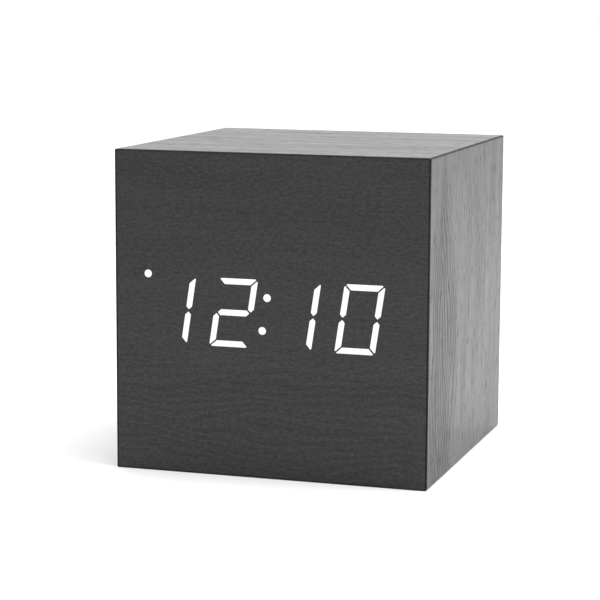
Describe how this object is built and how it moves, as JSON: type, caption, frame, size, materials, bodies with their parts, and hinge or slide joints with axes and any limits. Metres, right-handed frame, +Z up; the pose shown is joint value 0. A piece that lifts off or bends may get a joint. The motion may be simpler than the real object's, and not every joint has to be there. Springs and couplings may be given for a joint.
{
  "type": "alarm clock",
  "caption": "Cube alarm clock: black wood-grain box with a flush front film that lit seven-segment digits shine through, and buttons and a battery door at the back.",
  "frame": {"origin": "centre of the bottom face", "axes": "+Z up; the display faces -Y; +X is to the right as the display is read"},
  "size_m": [0.06, 0.06, 0.06],
  "materials": {
    "wood_grain_film": "black film with a fine open-pore wood grain, low sheen",
    "fibre_board": "medium-density fibre board, its rear rims inked black",
    "reflector_plastic": "grey moulded plastic with a black printed face",
    "lit_resin": "milky resin, lit white",
    "clear_resin": "milky resin, unlit",
    "die_metal": "light-emitting die",
    "circuit_board": "green solder mask",
    "tinned_metal": "tinned",
    "black_foam": "black foam",
    "black_plastic": "fine spark-eroded texture",
    "zinc_steel": "bright zinc plate",
    "nickel_steel": "nickel plate",
    "brass_disc": "bare brass",
    "capacitor_sleeve": "dark blue sleeve",
    "bead_resin": "dipped resin",
    "connector_plastic": "natural nylon",
    "lead_sheath": "dark lead insulation",
    "black_steel": "black zinc plate",
    "gold_contact": "gold flash",
    "black_rubber": "soft black rubber",
    "cell_jacket": "plain printed jacket",
    "button_plastic": "satin"
  },
  "bodies": {
    "clock": {"aaa_cell_1": "cell_jacket", "aaa_cell_2": "cell_jacket", "aaa_cell_3": "cell_jacket", "base_film": "wood_grain_film", "battery_leads": "lead_sheath", "board_screws": "zinc_steel", "board_spacers": "black_plastic", "bottom_board": "fibre_board", "buzzer_case": "black_plastic", "buzzer_disc": "brass_disc", "capacitor": "capacitor_sleeve", "cell_springs": "nickel_steel", "chip_leads": "tinned_metal", "coin_cell": "nickel_steel", "coin_clip": "nickel_steel", "coin_holder": "black_plastic", "contact_plates": "nickel_steel", "controller_chip": "black_plastic", "corner_blocks": "fibre_board", "cover_screws": "black_steel", "crystal": "nickel_steel", "display_board": "circuit_board", "display_light_seal": "black_foam", "display_pins": "tinned_metal", "display_reflector": "reflector_plastic", "front_board": "fibre_board", "front_film": "wood_grain_film", "key_board": "circuit_board", "key_board_screws": "zinc_steel", "key_leads": "lead_sheath", "left_board": "fibre_board", "light_dies": "die_metal", "lit_segments": "lit_resin", "main_board": "circuit_board", "mic_grommet": "black_rubber", "microphone": "nickel_steel", "rear_cover": "black_plastic", "right_board": "fibre_board", "small_parts": "black_plastic", "socket_contacts": "gold_contact", "socket_shell": "nickel_steel", "socket_tongue": "black_plastic", "switch_bodies": "black_plastic", "switch_covers": "nickel_steel", "temperature_bead": "bead_resin", "top_board": "fibre_board", "unlit_segments": "clear_resin", "wire_headers": "connector_plastic", "wire_plugs": "connector_plastic", "wrap_film": "wood_grain_film"},
    "battery_door": {"battery_door": "black_plastic"},
    "door_latch": {"door_latch": "black_plastic"},
    "set_button": {"set_button": "button_plastic", "set_plunger": "button_plastic"},
    "down_button": {"down_button": "button_plastic", "down_plunger": "button_plastic"},
    "up_button": {"up_button": "button_plastic", "up_plunger": "button_plastic"}
  },
  "joints": [
    {"name": "set_press", "type": "slide", "parent": "clock", "child": "set_button", "axis": [0, -1, 0], "range_m": [0, 0.0003], "stiffness_N_per_m": 4000},
    {"name": "down_press", "type": "slide", "parent": "clock", "child": "down_button", "axis": [0, -1, 0], "range_m": [0, 0.0003], "stiffness_N_per_m": 4000},
    {"name": "up_press", "type": "slide", "parent": "clock", "child": "up_button", "axis": [0, -1, 0], "range_m": [0, 0.0003], "stiffness_N_per_m": 4000},
    {"name": "door_hinge", "type": "hinge", "parent": "clock", "child": "battery_door", "pos_m": [0, 0.0285, 0.0474], "axis": [1, 0, 0], "range_deg": [0, 60], "deforming": ["door_latch"]},
    {"name": "latch_flex", "type": "hinge", "parent": "battery_door", "child": "door_latch", "pos_m": [0, 0.022, 0.01085], "axis": [1, 0, 0], "range_deg": [0, 7], "stiffness_Nm_per_rad": 0.2}
  ]
}
